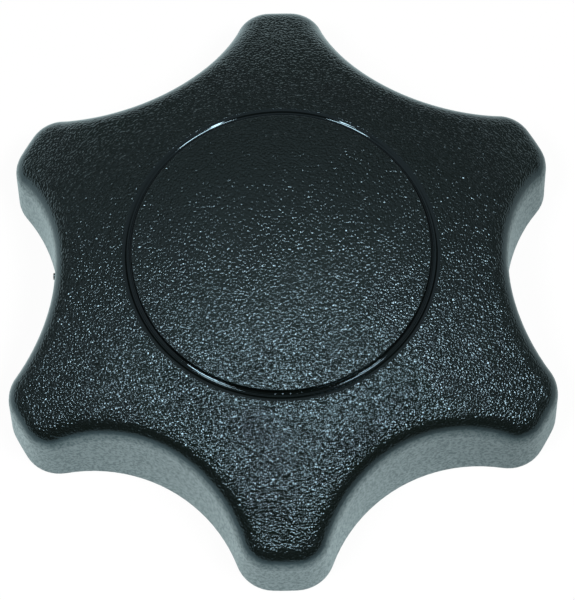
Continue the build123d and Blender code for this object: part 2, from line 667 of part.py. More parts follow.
def pressure_plate():
    """Plate behind the seal: open middle with spokes, stem guide, and a rim that centres the spring."""
    plate = ring(SEAL_BORE, PLATE_RADIUS, plate_z, plate_top)
    plate += ring(SEAL_RADIUS + SEAL_SIDE, PLATE_RADIUS, plate_z - SEAL_THICKNESS / 2, plate_z)
    guide_bore = STEM_RADIUS + STEM_CLEARANCE
    plate += ring(guide_bore, GUIDE_RADIUS, plate_z, guide_top)
    spoke = radial_bar(guide_bore + STEM_CLEARANCE, SEAL_BORE + SPOKE_WIDTH, SPOKE_WIDTH, 0, plate_z, plate_top)
    return plate + around(PLATE_SPOKES, spoke) + spring_locator(plate_top)


def coil(radius, wire, turns, bottom, top):
    """Compression coil between two seats, its wire's ends cut square."""
    low = bottom + CONTACT_GAP + wire / 2
    height = top - bottom - 2 * CONTACT_GAP - wire
    path = Helix(height / turns, height, radius)
    section = Plane(origin=path @ 0, z_dir=path % 0) * Circle(wire / 2)
    return Pos(0, 0, low) * sweep(section, path=path, is_frenet=True)


def pressure_spring():
    """Coil that holds the pressure plate on its seat."""
    return coil(PRESSURE_COIL_RADIUS, PRESSURE_WIRE, PRESSURE_TURNS, plate_top, cap_z)


def vacuum_spring():
    """Coil that holds the vacuum poppet up against the seal."""
    return coil(VACUUM_COIL_RADIUS, VACUUM_WIRE, VACUUM_TURNS, plate_top, vacuum_clip_z)


def vacuum_poppet():
    """Turned poppet: disc with a sealing lip, stem, and a groove for its clip."""
    head_top = seat_z - POPPET_LIP_HEIGHT
    head_bottom = head_top - POPPET_THICKNESS
    lip_bore = POPPET_RADIUS - POPPET_LIP
    return turned([
        (0, head_bottom), (POPPET_RADIUS, head_bottom), (POPPET_RADIUS, seat_z), (lip_bore, seat_z),
        (lip_bore, head_top), (STEM_RADIUS, head_top), (STEM_RADIUS, vacuum_clip_z),
        (stem_neck_radius, vacuum_clip_z), (stem_neck_radius, vacuum_clip_top),
        (STEM_RADIUS, vacuum_clip_top), (STEM_RADIUS, stem_top), (0, stem_top)])


def vacuum_clip():
    """Push-on washer that holds the vacuum spring on the stem."""
    return ring(stem_neck_radius, VACUUM_CLIP_RADIUS, vacuum_clip_z, vacuum_clip_top)


def spring_cap():
    """Snap-in cap over the pressure spring, with a ring of breather holes and a spring locator."""
    cap = cylinder(VALVE_RADIUS, cap_z, cap_top)
    bead = ring(VALVE_RADIUS - VALVE_WALL, VALVE_RADIUS + CAP_BEAD, cap_z, cap_z + CAP_BEAD_HEIGHT)
    cap += chamfer(top_circle(bead, VALVE_RADIUS + CAP_BEAD), CAP_BEAD * CAP_BEAD_SLOPE)
    cap += spring_locator(cap_z - LOCATOR_HEIGHT)
    cap -= cylinder(CAP_PORT_RADIUS, cap_z, cap_top)
    hole = Pos(CAP_HOLE_PLACE, 0, 0) * cylinder(CAP_HOLE_RADIUS, cap_z, cap_top)
    return cap - around(CAP_HOLES, hole)


def vent_filter():
    """Foam disc on top of the turret that keeps dust out of the valve."""
    return cylinder(filter_radius, filter_z, filter_top)


# ---------------------------------------------------------------- splash guard
def splash_guard():
    """Slotted dish below the closure that keeps liquid fuel off the valve."""
    dish = cylinder(guard_radius, guard_z, guard_floor_top)
    rim = ring(guard_radius - GUARD_RIM, guard_radius, guard_floor_top, guard_top)
    slot = radial_bar(guard_radius - 2 * GUARD_RIM, guard_radius + GUARD_RIM, GUARD_SLOT_WIDTH, 0,
                      guard_floor_top, guard_top)
    dish += rim - around(GUARD_SLOTS, slot, 180 / GUARD_SLOTS)
    post = Pos(screw_place, 0, 0) * cylinder(BOSS_RADIUS, guard_floor_top, guard_top)
    dish += around(SCREWS, post)
    hole = Pos(screw_place, 0, 0) * cylinder(SCREW_RADIUS + SCREW_CLEARANCE, guard_z, guard_top)
    recess = Pos(screw_place, 0, 0) * cylinder(SCREW_HEAD_RADIUS + SCREW_RECESS, guard_z, screw_seat_z)
    return dish - around(SCREWS, hole + recess)


def guard_screw():
    """Pan-head screw, its head up inside the guard's recess and its shank in the boss."""
    head = cylinder(SCREW_HEAD_RADIUS, screw_seat_z - SCREW_HEAD_HEIGHT, screw_seat_z)
    cross = Rectangle(SCREW_HEAD_RADIUS, SCREW_SLOT) + Rectangle(SCREW_SLOT, SCREW_HEAD_RADIUS)
    head -= Pos(0, 0, screw_seat_z - SCREW_HEAD_HEIGHT) * extrude(cross, SCREW_HEAD_HEIGHT / 2)
    shank = cylinder(SCREW_RADIUS, screw_seat_z, screw_seat_z + SCREW_LENGTH)
    shank = chamfer(shank.edges().filter_by(GeomType.CIRCLE).sort_by(Axis.Z)[-1], SCREW_RADIUS / 2)
    return Pos(screw_place, 0, 0) * (head + shank)


def guard_screws():
    """The three screws that hold the splash guard."""
    return Compound(around(SCREWS, guard_screw()))


NODES = (
    handle_shell, centre_disc, ratchet_ring, closure_body, neck_gasket, spring_washer, thrust_washer,
    retaining_clip, valve_housing, housing_o_ring, pressure_seal, pressure_plate, pressure_spring,
    spring_cap, vacuum_poppet, vacuum_spring, vacuum_clip, vent_filter, splash_guard, guard_screws,
)

os.makedirs("parts", exist_ok=True)
for node in NODES:
    export_step(node(), f"parts/{node.__name__}.step")
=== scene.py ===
import logging
import math
from dataclasses import dataclass
from enum import Enum

import bpy
from mathutils import Matrix, Vector


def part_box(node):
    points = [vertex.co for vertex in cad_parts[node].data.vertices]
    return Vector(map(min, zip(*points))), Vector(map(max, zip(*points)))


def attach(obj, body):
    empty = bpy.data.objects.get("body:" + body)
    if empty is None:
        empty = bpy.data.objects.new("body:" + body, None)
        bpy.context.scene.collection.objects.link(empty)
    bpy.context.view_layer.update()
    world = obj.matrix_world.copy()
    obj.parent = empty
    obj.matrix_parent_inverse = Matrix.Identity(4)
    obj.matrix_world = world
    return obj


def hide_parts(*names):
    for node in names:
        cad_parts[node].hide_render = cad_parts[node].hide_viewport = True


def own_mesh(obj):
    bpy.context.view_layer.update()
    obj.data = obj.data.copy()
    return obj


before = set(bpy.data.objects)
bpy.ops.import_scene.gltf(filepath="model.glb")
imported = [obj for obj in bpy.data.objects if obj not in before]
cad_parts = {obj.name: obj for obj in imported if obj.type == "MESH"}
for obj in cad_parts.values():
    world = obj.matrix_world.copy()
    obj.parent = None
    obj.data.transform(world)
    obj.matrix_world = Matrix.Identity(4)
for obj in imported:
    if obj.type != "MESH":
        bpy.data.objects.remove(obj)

LOG = logging.getLogger("fuel_cap")
MM = 0.001
Colour = tuple[float, float, float, float]
Span = tuple[float, float]
Socket = bpy.types.NodeSocket

# Lumps of the shared effects, in millimetres.
CLOUD_MM = 9.0
DUST_CLOUD_MM = 14.0
PATCH_MM = 3.0
# The spans of noise over which dust begins, and the lean of the faces that it settles on.
DUST_FLECKS: Span = (0.62, 0.72)
DUST_CLOUDS: Span = (0.35, 0.75)
DUST_LEVEL: Span = (0.3, 0.9)


def shade(red: float, green: float, blue: float) -> Colour:
    """An opaque colour."""
    return (red, green, blue, 1.0)


class Blend(Enum):
    """What a Mix node mixes: its data type, the places of factor and values, and the result's."""

    NUMBERS = ("FLOAT", (0, 2, 3), 0)
    COLOURS = ("RGBA", (0, 6, 7), 2)


class Tree:
    """A node tree with short calls for adding and joining nodes."""

    def __init__(self, tree: bpy.types.NodeTree) -> None:
        """Keeps the tree.

        Args:
            tree: The node tree of a material, world, shader group or modifier.
        """
        self.tree = tree

    def node(self, kind: str, **settings: object) -> bpy.types.Node:
        """Adds a node.

        Args:
            kind: The node's type name.
            settings: Properties of the node.

        Returns:
            The new node.
        """
        made = self.tree.nodes.new(kind)
        for name, value in settings.items():
            setattr(made, name, value)
        return made

    def feed(self, socket: Socket, value: object) -> None:
        """Links an output to an input, or sets the input to a plain value.

        Args:
            socket: The input.
            value: An output, a number, a colour or another plain value.
        """
        if isinstance(value, bpy.types.NodeSocket):
            self.tree.links.new(value, socket)
        else:
            socket.default_value = value

    def use(self, kind: str, settings: dict[str, object] | None = None,
            **values: object) -> bpy.types.Node:
        """Adds a node and feeds its inputs by name, with _ in place of a space.

        Args:
            kind: The node's type name.
            settings: Properties of the node.
            values: Values or outputs for the inputs.

        Returns:
            The new node.
        """
        made = self.node(kind, **(settings or {}))
        for name, value in values.items():
            self.feed(made.inputs[name.replace("_", " ")], value)
        return made

    def math(self, operation: str, *values: object, clamp: bool = False) -> Socket:
        """Adds a Math node.

        Args:
            operation: The node's operation.
            values: Numbers or outputs, in the inputs' order.
            clamp: Whether the result is kept between 0 and 1.

        Returns:
            The node's output.
        """
        made = self.node("ShaderNodeMath", operation=operation, use_clamp=clamp)
        for socket, value in zip(made.inputs, values):
            self.feed(socket, value)
        return made.outputs[0]

    def vector(self, operation: str, *values: object) -> bpy.types.Node:
        """Adds a Vector Math node.

        Args:
            operation: The node's operation.
            values: Vectors or outputs, in the inputs' order.

        Returns:
            The node.
        """
        made = self.node("ShaderNodeVectorMath", operation=operation)
        for socket, value in zip(made.inputs, values):
            self.feed(socket, value)
        return made

    def ramp(self, value: Socket, start: object, end: object, low: object = 0.0,
             high: object = 1.0) -> Socket:
        """Maps a value smoothly from the span start to end onto the span low to high."""
        made = self.use("ShaderNodeMapRange", {"interpolation_type": "SMOOTHSTEP"}, Value=value,
                        From_Min=start, From_Max=end, To_Min=low, To_Max=high)
        return made.outputs["Result"]

    def blend(self, kind: Blend, *values: object) -> Socket:
        """Adds a Mix node.

        Args:
            kind: What it mixes.
            values: The mask, what shows where it is 0, and what shows where it is 1.

        Returns:
            The node's output.
        """
        data_type, places, result = kind.value
        made = self.node("ShaderNodeMix", data_type=data_type)
        for place, value in zip(places, values):
            self.feed(made.inputs[place], value)
        return made.outputs[result]

    def mix(self, mask: object, low: object, high: object) -> Socket:
        """Mixes two numbers by a mask."""
        return self.blend(Blend.NUMBERS, mask, low, high)

    def colours(self, mask: object, low: object, high: object) -> Socket:
        """Mixes two colours by a mask."""
        return self.blend(Blend.COLOURS, mask, low, high)

    def noise(self, place: Socket, size_mm: object, detail: float, roughness: float = 0.5) -> Socket:
        """Adds a Noise Texture node.

        Args:
            place: Where the noise is read.
            size_mm: About how wide its lumps are.
            detail: How many finer layers it has.
            roughness: How strong those are.

        Returns:
            The noise, 0 to 1.
        """
        scale = self.math("DIVIDE", 1.0 / MM, size_mm)
        made = self.use("ShaderNodeTexNoise", Vector=place, Scale=scale, Detail=detail, Roughness=roughness)
        return made.outputs[0]

    def place(self, seed: Socket) -> Socket:
        """Object coordinates, moved by a seed so that no two pieces show the same lumps."""
        here = self.node("ShaderNodeTexCoord").outputs["Object"]
        return self.vector("ADD", here, seed).outputs[0]


@dataclass(frozen=True)
class Group:
    """The sockets of a new shader node group."""

    work: Tree
    given: bpy.types.Node
    made: bpy.types.Node

    @staticmethod
    def start(name: str, inputs: dict[str, float], outputs: tuple[str, ...]) -> "Group":
        """Makes an empty group.

        Args:
            name: The group's name.
            inputs: Names and default values of its number inputs.
            outputs: Names of its number outputs.

        Returns:
            The group's tree with its input and output nodes.
        """
        tree = bpy.data.node_groups.new(name, "ShaderNodeTree")
        for title, value in inputs.items():
            socket = tree.interface.new_socket(title, in_out="INPUT", socket_type="NodeSocketFloat")
            socket.default_value = value
        for title in outputs:
            tree.interface.new_socket(title, in_out="OUTPUT", socket_type="NodeSocketFloat")
        work = Tree(tree)
        return Group(work, work.node("NodeGroupInput"), work.node("NodeGroupOutput"))

    def __getitem__(self, name: str) -> Socket:
        """One of the group's inputs, as seen from inside."""
        return self.given.outputs[name]

    def give(self, name: str, value: Socket) -> None:
        """Feeds one of the group's outputs."""
        self.work.feed(self.made.inputs[name], value)


def spark_grain() -> Group:
    """Pebbled grain of a spark-eroded mould: its height, its fine mottle, and broad clouds.

    Returns:
        The new group.
    """
    group = Group.start("spark_grain", {"Pebble mm": 0.4, "Seed": 0.0}, ("Height", "Mottle", "Cloud"))
    work = group.work
    place = work.place(group["Seed"])
    lumps = work.noise(place, group["Pebble mm"], detail=0.4)
    pebbles = work.use("ShaderNodeTexVoronoi", {"feature": "F1"}, Vector=place,
                       Scale=work.math("DIVIDE", 1.0 / MM, group["Pebble mm"]))
    dip = work.math("POWER", pebbles.outputs["Distance"], 2.0)
    group.give("Height", work.math("SUBTRACT", lumps, dip))
    group.give("Mottle", work.noise(place, group["Pebble mm"], detail=2.0, roughness=0.7))
    group.give("Cloud", work.noise(place, CLOUD_MM, detail=3.0))
    return group


def slope_mask() -> Group:
    """Where a surface has turned from level to upright, between two leans given in degrees.

    Returns:
        The new group.
    """
    group = Group.start("slope_mask", {"From degrees": 50.0, "To degrees": 70.0}, ("Mask",))
    work = group.work
    parts = work.use("ShaderNodeSeparateXYZ", Vector=work.node("ShaderNodeNewGeometry").outputs["Normal"])
    lean = work.math("ARCCOSINE", work.math("ABSOLUTE", parts.outputs[2]))
    degrees = work.math("MULTIPLY", lean, math.degrees(1.0))
    group.give("Mask", work.ramp(degrees, group["From degrees"], group["To degrees"]))
    return group


def ring_mask() -> Group:
    """A ring about the cap's axis, above a height, with soft edges, and the distance from the axis.

    Returns:
        The new group.
    """
    sizes = {"Inner mm": 20.0, "Outer mm": 22.0, "Above mm": 18.0, "Soft mm": 0.06}
    group = Group.start("ring_mask", sizes, ("Mask", "Radius mm"))
    work = group.work
    parts = work.use("ShaderNodeSeparateXYZ", Vector=work.node("ShaderNodeTexCoord").outputs["Object"])
    square = work.math("MULTIPLY_ADD", parts.outputs[0], parts.outputs[0],
                       work.math("MULTIPLY", parts.outputs[1], parts.outputs[1]))
    radius = work.math("DIVIDE", work.math("SQRT", square), MM)
    height = work.math("DIVIDE", parts.outputs[2], MM)
    soft = group["Soft mm"]
    edges = ((radius, group["Inner mm"]), (group["Outer mm"], radius), (height, group["Above mm"]))
    sides = [work.math("DIVIDE", work.math("SUBTRACT", *edge), soft, clamp=True) for edge in edges]
    group.give("Mask", work.math("MULTIPLY", work.math("MULTIPLY", sides[0], sides[1]), sides[2]))
    group.give("Radius mm", radius)
    return group


def dust_mask() -> Group:
    """Fine dust on faces that look up, gathered in soft clouds; on the grained plastic its specks are also
    painted glints.

    Returns:
        The new group.
    """
    group = Group.start("dust_mask", {"Fleck mm": 0.3, "Amount": 0.2, "Seed": 0.0}, ("Mask",))
    work = group.work
    place = work.place(group["Seed"])
    parts = work.use("ShaderNodeSeparateXYZ", Vector=work.node("ShaderNodeNewGeometry").outputs["Normal"])
    flecks = work.ramp(work.noise(place, group["Fleck mm"], detail=2.0), *DUST_FLECKS)
    clouds = work.ramp(work.noise(place, DUST_CLOUD_MM, detail=2.0), *DUST_CLOUDS)
    up = work.ramp(parts.outputs[2], *DUST_LEVEL)
    share = work.math("MULTIPLY", work.math("MULTIPLY", flecks, clouds), up)
    group.give("Mask", work.math("MULTIPLY", share, group["Amount"]))
    return group


def turned_lines() -> Group:
    """Fine rings about the cap's axis, as on a turned or drawn metal part, and dull patches.

    Returns:
        The new group.
    """
    group = Group.start("turned_lines", {"Pitch mm": 0.2, "Seed": 0.0}, ("Height", "Tone"))
    work = group.work
    parts = work.use("ShaderNodeSeparateXYZ", Vector=work.place(group["Seed"]))
    square = work.math("MULTIPLY_ADD", parts.outputs[0], parts.outputs[0],
                       work.math("MULTIPLY", parts.outputs[1], parts.outputs[1]))
    radius = work.math("SQRT", square)
    joined = work.use("ShaderNodeCombineXYZ", X=radius, Y=parts.outputs[2])
    rings = work.noise(joined.outputs[0], group["Pitch mm"], detail=2.0, roughness=0.7)
    group.give("Height", rings)
    group.give("Tone", work.noise(work.place(group["Seed"]), PATCH_MM, detail=3.0))
    return group


class Effect(Enum):
    """The shared node groups, by the name of each one's tree."""

    GRAIN = "spark_grain"
    SLOPE = "slope_mask"
    RING = "ring_mask"
    DUST = "dust_mask"
    LINES = "turned_lines"


EFFECTS = {Effect.GRAIN: spark_grain, Effect.SLOPE: slope_mask, Effect.RING: ring_mask,
           Effect.DUST: dust_mask, Effect.LINES: turned_lines}


def placed(work: Tree, effect: Effect, **values: object) -> dict[str, Socket]:
    """Places a shared node group in a material, building it the first time.

    Args:
        work: The material's tree.
        effect: The group.
        values: Values for its inputs, with _ in place of a space.

    Returns:
        The group's outputs by name.
    """
    if effect.value not in bpy.data.node_groups:
        EFFECTS[effect]()
    made = work.use("ShaderNodeGroup", {"node_tree": bpy.data.node_groups[effect.value]}, **values)
    return {socket.name: socket for socket in made.outputs}


class Paint:
    """A new material, its node tree and its Principled shader."""

    def __init__(self, name: str) -> None:
        """Makes the material.

        Args:
            name: The material's name.
        """
        self.material = bpy.data.materials.new(name)
        self.material.use_nodes = True
        self.work = Tree(self.material.node_tree)
        self.shader = self.material.node_tree.nodes["Principled BSDF"]

    def feed(self, **values: object) -> None:
        """Feeds the shader's inputs by name, with _ in place of a space."""
        for name, value in values.items():
            self.work.feed(self.shader.inputs[name.replace("_", " ")], value)

    def bump(self, height: Socket, depth_mm: float) -> None:
        """Raises the surface by a height times a depth."""
        made = self.work.use("ShaderNodeBump", Height=height, Strength=1.0, Distance=depth_mm * MM)
        self.feed(Normal=made.outputs[0])


@dataclass(frozen=True)
class GrainedPlastic:
    """Black moulded plastic: sparkling pebbled grain on top, satin walls, and a polished ring.

    Lengths are in millimetres, radii of the ring and its hollow are from the cap's axis, and a lean is
    in degrees from level.
    """

    name: str
    seed: float
    polish_from: float = 21.5
    polish_to: float = 23.04
    hollow_from: float = 21.82
    hollow_to: float = 22.06
    hollow_mm: float = 0.085
    top: Colour = shade(0.0050, 0.0078, 0.0070)
    # Darker than the top: painted shade in the groove.
    polished: Colour = shade(0.0022, 0.0032, 0.0031)
    # Paler, bluer colour of the walls: painted light reflected from the white table.
    wall: Colour = shade(0.010, 0.024, 0.025)
    sheen: Colour = shade(0.58, 0.85, 1.0)
    # Pale blue specks on the grain: partly dust, partly painted glints.
    dust_and_glint_speck: Colour = shade(0.16, 0.21, 0.23)
    pebble_mm: float = 0.35
    relief_mm: float = 0.102
    roughness: float = 0.17
    satin: float = 0.45
    polish: float = 0.05
    gloss: float = 0.6
    skin_index: float = 1.85
    skin_roughness: float = 0.35
    # Height of the painted contact shade at the walls' foot.
    foot_shade_mm: float = 0.35
    mottle_mm: float = 0.45
    mottle_seed: float = 1.0
    mottle_span: Span = (0.36, 0.60)
    mottle_low: float = 0.30
    wall_lean: Span = (58.0, 72.0)
    edge_lean: Span = (26.0, 62.0)
    dust_mm: float = 0.22
    dust_share: float = 0.10

    def material(self) -> bpy.types.Material:
        """Builds the finish.

        Returns:
            Its material.
        """
        paint = Paint(self.name)
        work = paint.work
        grain = placed(work, Effect.GRAIN, Pebble_mm=self.pebble_mm, Seed=self.seed)
        wall = self.leaning(work, self.wall_lean)
        band = placed(work, Effect.RING, Inner_mm=self.polish_from, Outer_mm=self.polish_to)
        ring = band["Mask"]
        dust = placed(work, Effect.DUST, Fleck_mm=self.dust_mm, Amount=self.dust_share,
                      Seed=self.seed)["Mask"]
        rolled = self.leaning(work, self.edge_lean)
        grained = work.math("SUBTRACT", 1.0, ring)
        upright = work.math("MULTIPLY", wall, grained)
        # Specks on the grain are partly dust and partly painted glints that stand in for sparkle.
        flecked = work.colours(work.math("MULTIPLY", dust, grained), self.top, self.dust_and_glint_speck)
        # The ring is polished, and its colour is darker than the grain's as painted shade in the groove.
        flecked = work.colours(ring, flecked, self.polished)
        # The walls take a paler, bluer colour than the top: painted light reflected from the white table.
        paint.feed(Base_Color=work.colours(upright, flecked, self.wall), Specular_Tint=self.sheen,
                   Specular_IOR_Level=self.gloss)
        paint.feed(Roughness=work.mix(ring, work.mix(upright, self.roughness, self.satin), self.polish))
        streaks = placed(work, Effect.GRAIN, Pebble_mm=self.mottle_mm, Seed=self.seed + self.mottle_seed)
        mottle = work.ramp(streaks["Mottle"], *self.mottle_span, self.mottle_low, 1.0)
        # Below the foot's height the skin fades out: painted contact shade at the foot.
        skin = work.math("MULTIPLY", work.math("MULTIPLY", upright, mottle), self.above_painted_foot_shade(work))
        paint.feed(Coat_Weight=skin, Coat_IOR=self.skin_index, Coat_Roughness=self.skin_roughness)
        depth = self.hollow_mm / self.relief_mm
        hollow = work.ramp(band["Radius mm"], self.hollow_from, self.hollow_to, depth, 0.0)
        pebbled = work.math("MULTIPLY", grained, work.math("SUBTRACT", 1.0, rolled))
        relief = work.math("MULTIPLY_ADD", grain["Height"], pebbled, hollow)
        paint.bump(relief, self.relief_mm)
        return paint.material

    def leaning(self, work: Tree, lean: Span) -> Socket:
        """A mask, 1 on faces steeper than a lean's end and 0 on those below its start."""
        return placed(work, Effect.SLOPE, From_degrees=lean[0], To_degrees=lean[1])["Mask"]

    def above_painted_foot_shade(self, work: Tree) -> Socket:
        """Fades the walls' skin towards the foot, which darkens it as painted contact shade.

        Args:
            work: The material's tree.

        Returns:
            A mask, 1 above the foot.
        """
        parts = work.use("ShaderNodeSeparateXYZ", Vector=work.node("ShaderNodeTexCoord").outputs["Object"])
        return work.ramp(parts.outputs[2], 0.0, self.foot_shade_mm * MM)


@dataclass(frozen=True)
class MouldedPlastic:
    """Plain moulded plastic with faint flow clouds and a fine satin skin."""

    name: str
    colour: Colour
    cloud: Colour
    roughness: float = 0.42
    skin_mm: float = 0.35
    relief_mm: float = 0.012
    glow: float = 0.0
    seed: float = 1.0
    glow_mm: float = 1.5
    glow_reach: tuple[float, float, float] = (1.0, 0.9, 0.7)
    dust: Colour = shade(0.42, 0.40, 0.37)
    dust_mm: float = 0.4
    dust_share: float = 0.25
    cloud_span: Span = (0.3, 0.7)
    satin_span: Span = (0.2, 0.8)
    smoother: float = 0.05
    rougher: float = 0.07

    def material(self) -> bpy.types.Material:
        """Builds the finish.

        Returns:
            Its material.
        """
        paint = Paint(self.name)
        work = paint.work
        skin = placed(work, Effect.GRAIN, Pebble_mm=self.skin_mm, Seed=self.seed)
        dust = placed(work, Effect.DUST, Fleck_mm=self.dust_mm, Amount=self.dust_share,
                      Seed=self.seed)["Mask"]
        clouds = work.colours(work.ramp(skin["Cloud"], *self.cloud_span), self.colour, self.cloud)
        paint.feed(Base_Color=work.colours(dust, clouds, self.dust))
        paint.feed(Roughness=work.ramp(skin["Cloud"], *self.satin_span, self.roughness - self.smoother,
                                       self.roughness + self.rougher))
        if self.glow:
            paint.feed(Subsurface_Weight=self.glow, Subsurface_Radius=self.glow_reach,
                       Subsurface_Scale=self.glow_mm * MM)
        paint.bump(skin["Height"], self.relief_mm)
        return paint.material


@dataclass(frozen=True)
class Rubber:
    """Moulded rubber with a dull bloom."""

    name: str
    colour: Colour
    bloom: Colour
    seed: float = 2.0
    skin_mm: float = 0.25
    relief_mm: float = 0.02
    gloss: float = 0.35
    bloom_span: Span = (0.4, 0.8)
    dull_span: Span = (0.2, 0.8)
    roughness: Span = (0.5, 0.68)

    def material(self) -> bpy.types.Material:
        """Builds the finish.

        Returns:
            Its material.
        """
        paint = Paint(self.name)
        work = paint.work
        skin = placed(work, Effect.GRAIN, Pebble_mm=self.skin_mm, Seed=self.seed)
        bloomed = work.ramp(skin["Cloud"], *self.bloom_span)
        paint.feed(Base_Color=work.colours(bloomed, self.colour, self.bloom))
        dulled = work.ramp(skin["Cloud"], *self.dull_span, *self.roughness)
        paint.feed(Roughness=dulled, Specular_IOR_Level=self.gloss)
        paint.bump(skin["Height"], self.relief_mm)
        return paint.material


@dataclass(frozen=True)
class Metal:
    """Turned, drawn or stamped metal with rings of tool marks and a few dull patches."""

    name: str
    colour: Colour
    dull: Colour
    roughness: float = 0.28
    pitch_mm: float = 0.12
    relief_mm: float = 0.004
    seed: float = 4.0
    patch_span: Span = (0.45, 0.7)
    line_span: Span = (0.3, 0.7)
    smoother: float = 0.06
    rougher: float = 0.1

    def material(self) -> bpy.types.Material:
        """Builds the finish.

        Returns:
            Its material.
        """
        paint = Paint(self.name)
        work = paint.work
        lines = placed(work, Effect.LINES, Pitch_mm=self.pitch_mm, Seed=self.seed)
        patches = work.ramp(lines["Tone"], *self.patch_span)
        paint.feed(Base_Color=work.colours(patches, self.colour, self.dull), Metallic=1.0)
        paint.feed(Roughness=work.ramp(lines["Height"], *self.line_span, self.roughness - self.smoother,
                                       self.roughness + self.rougher))
        paint.bump(lines["Height"], self.relief_mm)
        return paint.material


@dataclass(frozen=True)
class Foam:
    """Open-cell filter foam."""

    name: str
    colour: Colour
    # Nearly black: painted shade in the foam's holes.
    pore_shade: Colour
    pore_mm: float = 0.55
    seed: float = 6.0
    skin_mm: float = 0.15
    skin_share: float = 0.15
    relief_mm: float = 0.15
    web_span: Span = (0.06, 0.22)
    roughness: float = 0.95
    gloss: float = 0.2

    def material(self) -> bpy.types.Material:
        """Builds the finish.

        Returns:
            Its material.
        """
        paint = Paint(self.name)
        work = paint.work
        here = work.node("ShaderNodeTexCoord").outputs["Object"]
        cells = work.use("ShaderNodeTexVoronoi", {"feature": "DISTANCE_TO_EDGE"}, Vector=here,
                         Scale=1.0 / MM / self.pore_mm)
        pores = work.ramp(cells.outputs["Distance"], *self.web_span)
        skin = placed(work, Effect.GRAIN, Pebble_mm=self.skin_mm, Seed=self.seed)
        # The pores are nearly black: painted shade in the foam's holes.
        paint.feed(Base_Color=work.colours(pores, self.colour, self.pore_shade), Roughness=self.roughness,
                   Specular_IOR_Level=self.gloss)
        height = work.math("SUBTRACT", work.math("MULTIPLY", skin["Height"], self.skin_share), pores)
        paint.bump(height, self.relief_mm)
        return paint.material


def dress(finishes: dict[str, bpy.types.Material]) -> None:
    """Gives CAD nodes their finishes and reports each.

    Args:
        finishes: Material of each node by the node's name.
    """
    for name, material in finishes.items():
        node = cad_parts[name]
        node.data.materials.clear()
        node.data.materials.append(material)
        LOG.info("dressed %s in %s", name, material.name)


def polygon_count(piece: bpy.types.Object) -> int:
    """Number of faces of a finished piece."""
    return len(piece.data.polygons)


class Maker:
    """A Geometry Nodes tree with named number inputs that ends in Realize Instances and Set Material."""

    def __init__(self, name: str, inputs: dict[str, float]) -> None:
        """Makes the tree with its input and output sockets.

        Args:
            name: The tree's name.
            inputs: Names and values of its number inputs, lengths in metres.
        """
        tree = bpy.data.node_groups.new(name, "GeometryNodeTree")
        tree.interface.new_socket("Geometry", in_out="INPUT", socket_type="NodeSocketGeometry")
        self.keys = {}
        for title in inputs:
            socket = tree.interface.new_socket(title, in_out="INPUT", socket_type="NodeSocketFloat")
            self.keys[title] = socket.identifier
        tree.interface.new_socket("Geometry", in_out="OUTPUT", socket_type="NodeSocketGeometry")
        self.inputs = inputs
        self.work = Tree(tree)
        self.given = self.work.node("NodeGroupInput")

    def __getitem__(self, name: str) -> Socket:
        """One of the tree's number inputs, as seen from inside."""
        return self.given.outputs[name]

    def finish(self, shape: Socket, material: bpy.types.Material, smooth: bool = True) -> bpy.types.Object:
        """Ends the tree, runs it, and leaves a plain mesh.

        Args:
            shape: The geometry that the tree has made.
            material: The piece's finish.
            smooth: Whether its faces are shaded smooth.

        Returns:
            A new object at the origin, with its place in its mesh and no modifier.
        """
        work = self.work
        real = work.use("GeometryNodeRealizeInstances", Geometry=shape)
        shaded = work.use("GeometryNodeSetShadeSmooth", Geometry=real.outputs[0], Shade_Smooth=smooth)
        painted = work.use("GeometryNodeSetMaterial", Geometry=shaded.outputs[0], Material=material)
        work.feed(work.node("NodeGroupOutput").inputs[0], painted.outputs[0])
        name = work.tree.name
        piece = bpy.data.objects.new(name, bpy.data.meshes.new(name + "_start"))
        bpy.context.scene.collection.objects.link(piece)
        modifier = piece.modifiers.new("maker", "NODES")
        modifier.node_group = work.tree
        for title, value in self.inputs.items():
            modifier[self.keys[title]] = value
        graph = bpy.context.evaluated_depsgraph_get()
        mesh = bpy.data.meshes.new_from_object(piece.evaluated_get(graph), depsgraph=graph)
        piece.modifiers.remove(modifier)
        start = piece.data
        piece.data = mesh
        mesh.name = name
        bpy.data.meshes.remove(start)
        return piece


class Seat(Enum):
    """The end of a spring that stays in place as its joint moves, by its corner in a node's box."""

    LOWER = 0
    UPPER = 1


